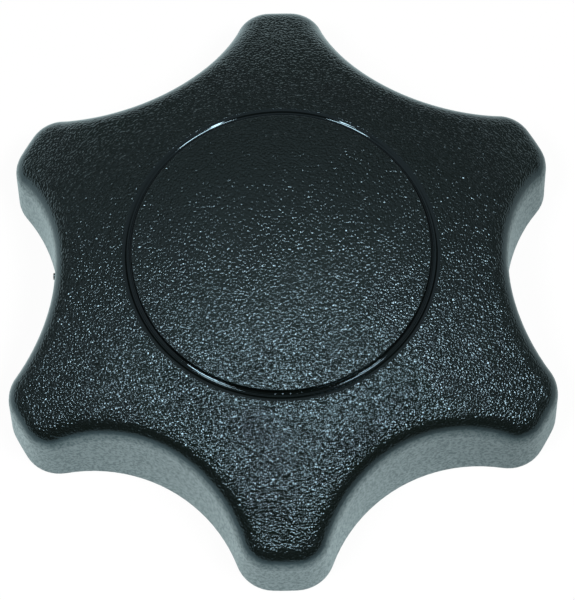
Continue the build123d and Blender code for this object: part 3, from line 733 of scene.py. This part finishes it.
@dataclass(frozen=True)
class CoilSpring:
    """Compression spring of round wire, whose end turns lie closer than its middle turns."""

    node: str
    body: str
    joint: str
    seat: Seat
    wire_mm: float
    turns: float
    keep: float
    end_turns: float = 0.7
    end_pitch: float = 1.04
    sides: int = 14
    steps: int = 72

    def build(self, steel: bpy.types.Material) -> bpy.types.Object:
        """Winds the spring in the space of its CAD node.

        Args:
            steel: The wire's finish.

        Returns:
            The spring, riding on its body and squashed by its joint.
        """
        low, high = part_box(self.node)
        wire = self.wire_mm * MM
        rise = high[2] - low[2] - wire
        reach = (high[0] - low[0] - wire) / 2
        maker = Maker(self.node + "_wound", {
            "Coil radius": reach, "Wire radius": wire / 2, "Turns": self.turns, "Rise": rise,
            "Bottom": low[2] + wire / 2, "End share": self.end_turns / self.turns,
            "End rise": wire * self.end_pitch * self.end_turns})
        work = maker.work
        spiral = work.use("GeometryNodeCurveSpiral", Resolution=self.steps, Rotations=maker["Turns"],
                          Start_Radius=maker["Coil radius"], End_Radius=maker["Coil radius"],
                          Height=maker["Rise"])
        along = work.node("GeometryNodeSplineParameter").outputs["Factor"]
        heights = work.math("ADD", maker["Bottom"], self.profile(maker, along))
        at = work.use("ShaderNodeSeparateXYZ", Vector=work.node("GeometryNodeInputPosition").outputs[0])
        moved = work.use("ShaderNodeCombineXYZ", X=at.outputs[0], Y=at.outputs[1], Z=heights)
        path = work.use("GeometryNodeSetPosition", Geometry=spiral.outputs[0], Position=moved.outputs[0])
        section = work.use("GeometryNodeCurvePrimitiveCircle", {"mode": "RADIUS"}, Resolution=self.sides,
                           Radius=maker["Wire radius"])
        tube = work.use("GeometryNodeCurveToMesh", Curve=path.outputs[0],
                        Profile_Curve=section.outputs["Curve"], Fill_Caps=True)
        piece = maker.finish(tube.outputs[0], steel)
        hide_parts(self.node)
        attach(piece, self.body)
        return piece

    def profile(self, maker: Maker, along: Socket) -> Socket:
        """Height of the wire's centre above its lower end, along the wire.

        Args:
            maker: The spring's tree.
            along: How far along the wire, 0 to 1.

        Returns:
            The height.
        """
        work = maker.work
        share, end_rise = maker["End share"], maker["End rise"]
        far = work.math("SUBTRACT", 1.0, share)
        middle = work.math("SUBTRACT", maker["Rise"], work.math("MULTIPLY", end_rise, 2.0))
        spans = ((0.0, share, end_rise), (share, far, middle), (far, 1.0, end_rise))
        parts = [work.use("ShaderNodeMapRange", Value=along, From_Min=start, From_Max=end, To_Min=0.0,
                          To_Max=height).outputs["Result"] for start, end, height in spans]
        return work.math("ADD", work.math("ADD", parts[0], parts[1]), parts[2])


@dataclass(frozen=True)
class PanScrews:
    """Three self-tapping screws with cross recesses, driven from below, evenly about the cap's axis."""

    node: str = "guard_screws"
    body: str = "closure"
    count: int = 3
    head_share: float = 0.165
    crown_share: float = 0.45
    recess_share: float = 0.5
    recess_width_mm: float = 0.5
    shank_mm: float = 1.2
    thread_mm: float = 0.2
    pitch_mm: float = 0.8
    tip_mm: float = 0.9
    sides: int = 40
    crown_power: float = 4.0
    head_rings: int = 6
    side_rings: int = 2
    thread_sides: int = 4
    thread_steps: int = 24

    def build(self, steel: bpy.types.Material) -> bpy.types.Object:
        """Cuts the screws in the space of their CAD node.

        Args:
            steel: The screws' finish.

        Returns:
            The screws, riding on their body.
        """
        low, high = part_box(self.node)
        # Along x, three heads of radius r on a ring of radius R reach from -R / 2 - r to R + r.
        ring = 2 * (high[0] + low[0])
        height = high[2] - low[2]
        maker = Maker(self.node + "_cut", {
            "Ring": ring, "Head radius": high[0] - ring, "Head height": height * self.head_share,
            "Length": height, "Bottom": low[2], "Shank": (self.shank_mm - self.thread_mm) * MM,
            "Thread": self.thread_mm * MM, "Pitch": self.pitch_mm * MM, "Tip": self.tip_mm * MM,
            "Recess": self.recess_width_mm * MM})
        work = maker.work
        screw = work.node("GeometryNodeJoinGeometry")
        for part in (self.head(maker), self.shank(maker), self.thread(maker)):
            work.feed(screw.inputs[0], part)
        bottom = self.up(maker, maker["Bottom"])
        lifted = work.use("GeometryNodeTransform", Geometry=screw.outputs[0], Translation=bottom)
        spots = work.use("GeometryNodeMeshCircle", Vertices=self.count, Radius=maker["Ring"])
        set_out = work.use("GeometryNodeInstanceOnPoints", Points=spots.outputs[0],
                           Instance=lifted.outputs[0])
        piece = maker.finish(set_out.outputs[0], steel, smooth=False)
        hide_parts(self.node)
        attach(piece, self.body)
        return piece

    def up(self, maker: Maker, height: object) -> Socket:
        """A vector that points up, as long as a height."""
        return maker.work.use("ShaderNodeCombineXYZ", Z=height).outputs[0]

    def head(self, maker: Maker) -> Socket:
        """The pan head, domed below, with its cross recess.

        Args:
            maker: The screws' tree.

        Returns:
            The head, its lowest point at height zero.
        """
        work = maker.work
        height, radius = maker["Head height"], maker["Head radius"]
        disc = work.use("GeometryNodeMeshCylinder", Vertices=self.sides, Side_Segments=self.side_rings,
                        Fill_Segments=self.head_rings, Radius=radius, Depth=height)
        at = work.use("ShaderNodeSeparateXYZ", Vector=work.node("GeometryNodeInputPosition").outputs[0])
        flat = work.use("ShaderNodeCombineXYZ", X=at.outputs[0], Y=at.outputs[1])
        share = work.math("DIVIDE", work.vector("LENGTH", flat.outputs[0]).outputs["Value"], radius)
        crown = work.math("MULTIPLY", height, self.crown_share)
        rise = work.math("MULTIPLY", crown, work.math("POWER", share, self.crown_power))
        below = work.math("LESS_THAN", at.outputs[2], 0.0)
        domed = work.use("GeometryNodeSetPosition", Geometry=disc.outputs[0],
                         Offset=self.up(maker, work.math("MULTIPLY", rise, below)))
        middle = self.up(maker, work.math("MULTIPLY", height, 0.5))
        seated = work.use("GeometryNodeTransform", Geometry=domed.outputs[0], Translation=middle)
        cut = work.node("GeometryNodeMeshBoolean", operation="DIFFERENCE", solver="EXACT")
        work.feed(cut.inputs["Mesh 1"], seated.outputs[0])
        depth = work.math("MULTIPLY", height, 2.0 * self.recess_share)
        for along, across in ((radius, maker["Recess"]), (maker["Recess"], radius)):
            size = work.use("ShaderNodeCombineXYZ", X=along, Y=across, Z=depth)
            bar = work.use("GeometryNodeMeshCube", Size=size.outputs[0])
            work.feed(cut.inputs["Mesh 2"], bar.outputs[0])
        return cut.outputs[0]

    def shank(self, maker: Maker) -> Socket:
        """The core under the thread, with its point.

        Args:
            maker: The screws' tree.

        Returns:
            The core, standing on the head.
        """
        work = maker.work
        length = work.math("SUBTRACT", maker["Length"], maker["Head height"])
        straight = work.math("SUBTRACT", length, maker["Tip"])
        core = work.use("GeometryNodeMeshCylinder", Vertices=self.sides, Radius=maker["Shank"],
                        Depth=straight)
        middle = self.up(maker, work.math("MULTIPLY_ADD", straight, 0.5, maker["Head height"]))
        placed_core = work.use("GeometryNodeTransform", Geometry=core.outputs[0], Translation=middle)
        point = work.use("GeometryNodeMeshCone", Vertices=self.sides, Radius_Top=0.0,
                         Radius_Bottom=maker["Shank"], Depth=maker["Tip"])
        start = self.up(maker, work.math("SUBTRACT", maker["Length"], maker["Tip"]))
        placed_point = work.use("GeometryNodeTransform", Geometry=point.outputs[0], Translation=start)
        both = work.node("GeometryNodeJoinGeometry")
        for part in (placed_core, placed_point):
            work.feed(both.inputs[0], part.outputs[0])
        return both.outputs[0]

    def thread(self, maker: Maker) -> Socket:
        """The thread's ridge, wound round the core.

        Args:
            maker: The screws' tree.

        Returns:
            The ridge.
        """
        work = maker.work
        ends = work.math("ADD", maker["Head height"], maker["Tip"])
        straight = work.math("SUBTRACT", maker["Length"], ends)
        rise = work.math("SUBTRACT", straight, maker["Pitch"])
        turns = work.math("DIVIDE", rise, maker["Pitch"])
        spiral = work.use("GeometryNodeCurveSpiral", Resolution=self.thread_steps, Rotations=turns,
                          Start_Radius=maker["Shank"], End_Radius=maker["Shank"], Height=rise)
        low = work.math("MULTIPLY_ADD", maker["Pitch"], 0.5, maker["Head height"])
        path = work.use("GeometryNodeSetPosition", Geometry=spiral.outputs[0], Offset=self.up(maker, low))
        ridge = work.use("GeometryNodeCurvePrimitiveCircle", {"mode": "RADIUS"},
                         Resolution=self.thread_sides, Radius=maker["Thread"])
        wound = work.use("GeometryNodeCurveToMesh", Curve=path.outputs[0],
                         Profile_Curve=ridge.outputs["Curve"], Fill_Caps=True)
        return wound.outputs[0]


class Finishes:
    """Every finish of the cap, each made once."""

    def __init__(self) -> None:
        """Makes the finishes' materials."""
        self.handle = GrainedPlastic("grained_black", seed=0.0).material()
        self.disc = GrainedPlastic("grained_black_disc", seed=5.0).material()
        self.closure = MouldedPlastic("closure_acetal", shade(0.62, 0.60, 0.54), shade(0.70, 0.68, 0.62),
                                      glow=0.12).material()
        self.ratchet = MouldedPlastic("ratchet_acetal", shade(0.52, 0.44, 0.26), shade(0.60, 0.52, 0.33),
                                      glow=0.12, seed=7.0).material()
        self.housing = MouldedPlastic("housing_grey", shade(0.10, 0.11, 0.12), shade(0.13, 0.14, 0.15),
                                      seed=8.0).material()
        self.cap = MouldedPlastic("spring_cap_black", shade(0.022, 0.023, 0.025), shade(0.032, 0.033, 0.035),
                                  seed=9.0).material()
        self.poppet = MouldedPlastic("poppet_green", shade(0.05, 0.16, 0.09), shade(0.07, 0.20, 0.12),
                                     seed=10.0).material()
        self.guard = MouldedPlastic("guard_natural", shade(0.68, 0.70, 0.70), shade(0.78, 0.80, 0.80),
                                    roughness=0.5, glow=0.3, seed=11.0).material()
        self.washer = MouldedPlastic("washer_white", shade(0.80, 0.80, 0.78), shade(0.86, 0.86, 0.84),
                                     roughness=0.35, seed=12.0).material()
        self.gasket = Rubber("gasket_black", shade(0.014, 0.014, 0.015),
                             shade(0.035, 0.035, 0.036)).material()
        self.o_ring = Rubber("o_ring_brown", shade(0.055, 0.022, 0.014), shade(0.09, 0.045, 0.03),
                             seed=3.0).material()
        self.seal = Rubber("seal_blue", shade(0.03, 0.07, 0.20), shade(0.06, 0.11, 0.26),
                           seed=13.0).material()
        self.blued = Metal("blued_steel", shade(0.16, 0.18, 0.24), shade(0.10, 0.11, 0.14),
                           roughness=0.32).material()
        self.zinc = Metal("zinc_plate", shade(0.62, 0.64, 0.67), shade(0.48, 0.49, 0.50),
                          roughness=0.3, pitch_mm=0.2).material()
        self.wire = Metal("stainless_wire", shade(0.56, 0.55, 0.53), shade(0.40, 0.39, 0.37),
                          roughness=0.22, pitch_mm=0.08).material()
        self.brass = Metal("brass_plate", shade(0.66, 0.48, 0.22), shade(0.44, 0.31, 0.15),
                           roughness=0.3).material()
        self.foam = Foam("filter_foam", shade(0.16, 0.16, 0.17), shade(0.02, 0.02, 0.02)).material()


@dataclass
class Grip:
    """The lobed handle and its bare centre disc."""

    finishes: Finishes

    def build(self) -> None:
        """Dresses the grip."""
        dress({"handle_shell": self.finishes.handle, "centre_disc": self.finishes.disc})


@dataclass
class Closure:
    """The threaded closure with its gasket, ratchet and the parts that hold the handle on it."""

    finishes: Finishes

    def build(self) -> None:
        """Dresses the closure's parts."""
        looks = self.finishes
        dress({"closure_body": looks.closure, "neck_gasket": looks.gasket, "ratchet_ring": looks.ratchet,
               "spring_washer": looks.blued, "thrust_washer": looks.washer, "retaining_clip": looks.blued})


@dataclass
class VentValve:
    """The two-way vent valve in the closure's turret."""

    finishes: Finishes
    springs: tuple[CoilSpring, ...] = (
        CoilSpring("pressure_spring", "closure", "pressure_lift", Seat.UPPER, wire_mm=0.7, turns=3.25,
                   keep=0.63),
        CoilSpring("vacuum_spring", "pressure_valve", "vacuum_draw", Seat.LOWER, wire_mm=0.35, turns=3.25,
                   keep=0.58, end_turns=0.6),
    )

    def build(self) -> None:
        """Dresses the valve and winds its springs."""
        looks = self.finishes
        dress({"valve_housing": looks.housing, "housing_o_ring": looks.o_ring, "pressure_seal": looks.seal,
               "pressure_plate": looks.zinc, "spring_cap": looks.cap, "vacuum_poppet": looks.poppet,
               "vacuum_clip": looks.brass, "vent_filter": looks.foam, "pressure_spring": looks.wire,
               "vacuum_spring": looks.wire})
        for spring in self.springs:
            piece = spring.build(looks.wire)
            LOG.info("wound %s with %d faces", piece.name, polygon_count(piece))
            self.squash(piece, spring)

    def squash(self, piece: bpy.types.Object, spring: CoilSpring) -> None:
        """Gives a wound spring a mesh of its own.

        Args:
            piece: The wound spring.
            spring: Its sizes.
        """
        low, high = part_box(spring.node)
        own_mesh(piece)


@dataclass
class Splash:
    """The guard under the valve and its screws."""

    finishes: Finishes
    screws: PanScrews = PanScrews()

    def build(self) -> None:
        """Dresses the guard and cuts its screws."""
        dress({"splash_guard": self.finishes.guard, "guard_screws": self.finishes.zinc})
        piece = self.screws.build(self.finishes.zinc)
        LOG.info("cut %s with %d faces", piece.name, polygon_count(piece))


@dataclass(frozen=True)
class Softbox:
    """A lamp with a rectangular face that points at the cap. Its lengths are in metres."""

    name: str
    azimuth: float
    elevation: float
    watts: float
    width: float = 0.16
    height: float = 0.16
    distance: float = 0.8

    def build(self) -> None:
        """Makes the lamp."""
        lamp = bpy.data.lights.new(self.name, "AREA")
        lamp.shape = "RECTANGLE"
        lamp.size = self.width
        lamp.size_y = self.height
        lamp.energy = self.watts
        holder = bpy.data.objects.new(self.name, lamp)
        turn, lift = math.radians(self.azimuth), math.radians(self.elevation)
        aim = Vector((math.cos(turn) * math.cos(lift), math.sin(turn) * math.cos(lift), math.sin(lift)))
        holder.location = aim * self.distance
        holder.rotation_euler = aim.to_track_quat("Z", "Y").to_euler()
        bpy.context.scene.collection.objects.link(holder)


@dataclass(frozen=True)
class ViewPoint:
    """The camera: its place, turn, tilt and lens."""

    azimuth: float = 0.640
    elevation: float = 67.817
    roll: float = 1.2926
    place_mm: tuple[float, float, float] = (0.741, -144.656, 356.460)
    focal_px: float = 2533.97
    frame_px: float = 600.0
    sensor_mm: float = 36.0
    nearest_mm: float = 10.0

    def build(self) -> None:
        """Makes the camera and gives it to the scene."""
        lift = math.radians(self.elevation)
        tilt = math.radians(self.roll)
        right = Vector((1.0, 0.0, 0.0))
        up = Vector((0.0, math.sin(lift), math.cos(lift)))
        back = Vector((0.0, -math.cos(lift), math.sin(lift)))
        image_x = right * math.cos(tilt) - up * math.sin(tilt)
        image_y = right * math.sin(tilt) + up * math.cos(tilt)
        axes = Matrix((image_x, image_y, back)).transposed().to_4x4()
        turn = Matrix.Rotation(math.radians(self.azimuth), 4, "Z")
        data = bpy.data.cameras.new("camera")
        data.lens = self.focal_px / self.frame_px * self.sensor_mm
        data.sensor_width = self.sensor_mm
        data.clip_start = self.nearest_mm * MM
        holder = bpy.data.objects.new("camera", data)
        holder.matrix_world = turn @ Matrix.Translation(Vector(self.place_mm) * MM) @ axes
        bpy.context.scene.collection.objects.link(holder)
        bpy.context.scene.camera = holder


@dataclass(frozen=True)
class Studio:
    """A white table in a plain room, dark behind the camera, lit by two lamps beside it.

    Lengths are in metres. The room's spans are of a direction's height or depth, from -1 to 1.
    """

    lamps: tuple[Softbox, ...] = (
        Softbox("left_lamp", 218.0, 63.5, 3.0),
        Softbox("right_lamp", 325.0, 63.5, 4.0, width=0.24),
    )
    room: float = 0.38
    dark: float = 0.015
    dark_until: float = -0.50
    bright_from: float = -0.10
    horizon: float = 0.18
    horizon_until: float = 0.30
    sky_from: float = 0.85
    right_dimming: float = 0.25
    cellar: float = 0.6
    cellar_span: Span = (-0.05, -0.15)
    hole_radius: float = 0.033
    table_level: float = -0.00005
    table_sides: int = 96
    table_top: Colour = shade(0.92, 0.92, 0.92)
    # Colour of the table in reflections beyond the painted pool of light.
    table_painted_dark_afar: Colour = shade(0.04, 0.04, 0.04)
    # Blue-green tint of the table's glow in reflections: a painted reflection tint.
    table_reflection_tint: Colour = shade(0.78, 0.98, 1.0)
    table_radius: float = 6.0
    table_roughness: float = 0.6
    table_glow: float = 0.94
    pool_until: float = 0.09
    pool_end: float = 0.25
    # Span and level of the painted shade on the table's right side, seen in reflections.
    shade_from: float = 0.010
    shade_to: float = 0.055
    shade_left: float = 0.6

    def build(self) -> None:
        """Sets the table, the room, the lamps and the camera."""
        ViewPoint().build()
        self.table()
        self.walls()
        for lamp in self.lamps:
            lamp.build()
        bpy.context.scene.view_settings.view_transform = "Standard"

    def walls(self) -> None:
        """Lights the room from above, from behind the cap and a little from below.

        It is dark on the camera's side, and where the camera looks past the table it is white.
        """
        world = bpy.data.worlds.new("room")
        bpy.context.scene.world = world
        world.use_nodes = True
        work = Tree(world.node_tree)
        ways = work.use("ShaderNodeSeparateXYZ", Vector=work.node("ShaderNodeTexCoord").outputs["Generated"])
        high = work.ramp(ways.outputs[2], self.horizon_until, self.sky_from, self.horizon, 1.0)
        beside = work.math("MULTIPLY_ADD", ways.outputs[0], -self.right_dimming, 1.0)
        light = work.ramp(ways.outputs[1], self.dark_until, self.bright_from, self.dark, self.room)
        light = work.math("MULTIPLY", light, work.math("MULTIPLY", high, beside))
        below = work.ramp(ways.outputs[2], *self.cellar_span)
        light = work.mix(below, light, self.cellar)
        light = work.mix(work.node("ShaderNodeLightPath").outputs["Is Camera Ray"], light, 1.0)
        background = world.node_tree.nodes["Background"]
        work.feed(background.inputs["Color"], shade(1.0, 1.0, 1.0))
        work.feed(background.inputs["Strength"], light)

    def table_finish(self) -> bpy.types.Material:
        """Makes the table's finish, which keeps the cap's shadow; in reflections it shows a painted pool of
        white light about the cap, with painted shade on its right side and a painted blue-green tint.

        Returns:
            A material that is clear where it is seen from below.
        """
        paint = Paint("table_white")
        work = paint.work
        rays = work.node("ShaderNodeLightPath")
        place = work.node("ShaderNodeTexCoord").outputs["Object"]
        reach = work.vector("LENGTH", place).outputs["Value"]
        aside = work.use("ShaderNodeSeparateXYZ", Vector=place).outputs[0]
        # Seen in reflections, the table is white only in a pool about the cap and darkens further off: a
        # painted pool of light.
        afar = work.ramp(reach, self.pool_until, self.pool_end)
        dimmed = work.math("MULTIPLY", afar, rays.outputs["Is Glossy Ray"])
        paint.feed(Base_Color=work.colours(dimmed, self.table_top, self.table_painted_dark_afar),
                   Roughness=self.table_roughness)
        seen = work.math("MAXIMUM", rays.outputs["Is Camera Ray"], rays.outputs["Is Glossy Ray"])
        seen = work.math("SUBTRACT", seen, dimmed, clamp=True)
        seen = work.math("MAXIMUM", seen, rays.outputs["Is Transmission Ray"])
        # On its right side the table's glow in reflections is dimmed: painted shade.
        shaded = work.ramp(aside, self.shade_from, self.shade_to, 1.0, self.shade_left)
        lit = work.mix(rays.outputs["Is Camera Ray"], shaded, 1.0)
        # In reflections the table's glow is blue-green: a painted reflection tint.
        painted_reflection_tint = work.colours(rays.outputs["Is Camera Ray"], self.table_reflection_tint, shade(1.0, 1.0, 1.0))
        glow = work.use("ShaderNodeEmission", Color=painted_reflection_tint, Strength=lit)
        both = work.use("ShaderNodeMixShader", Fac=work.math("MULTIPLY", seen, self.table_glow))
        work.feed(both.inputs[1], paint.shader.outputs[0])
        work.feed(both.inputs[2], glow.outputs[0])
        under = work.use("ShaderNodeMixShader", Fac=work.node("ShaderNodeNewGeometry").outputs["Backfacing"])
        work.feed(under.inputs[1], both.outputs[0])
        work.feed(under.inputs[2], work.node("ShaderNodeBsdfTransparent").outputs[0])
        work.feed(paint.material.node_tree.nodes["Material Output"].inputs["Surface"], under.outputs[0])
        return paint.material

    def table(self) -> None:
        """Lays the round table, with a hole beneath the cap that lets light up into it."""
        finish = self.table_finish()
        mesh = bpy.data.meshes.new("table")
        sides = self.table_sides
        turns = [2.0 * math.pi * index / sides for index in range(sides)]
        rings = [[(radius * math.cos(turn), radius * math.sin(turn), self.table_level) for turn in turns]
                 for radius in (self.hole_radius, self.table_radius)]
        faces = [(index, sides + index, sides + (index + 1) % sides, (index + 1) % sides)
                 for index in range(sides)]
        mesh.from_pydata(rings[0] + rings[1], [], faces)
        floor = bpy.data.objects.new("table", mesh)
        bpy.context.scene.collection.objects.link(floor)
        floor.data.materials.append(finish)


def main() -> None:
    """Dresses the cap, winds its springs and sets the studio."""
    logging.basicConfig(level=logging.INFO, format="%(message)s")
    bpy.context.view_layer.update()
    finishes = Finishes()
    for part in (Grip(finishes), Closure(finishes), VentValve(finishes), Splash(finishes)):
        part.build()
    Studio().build()


if __name__ == "__main__":
    main()
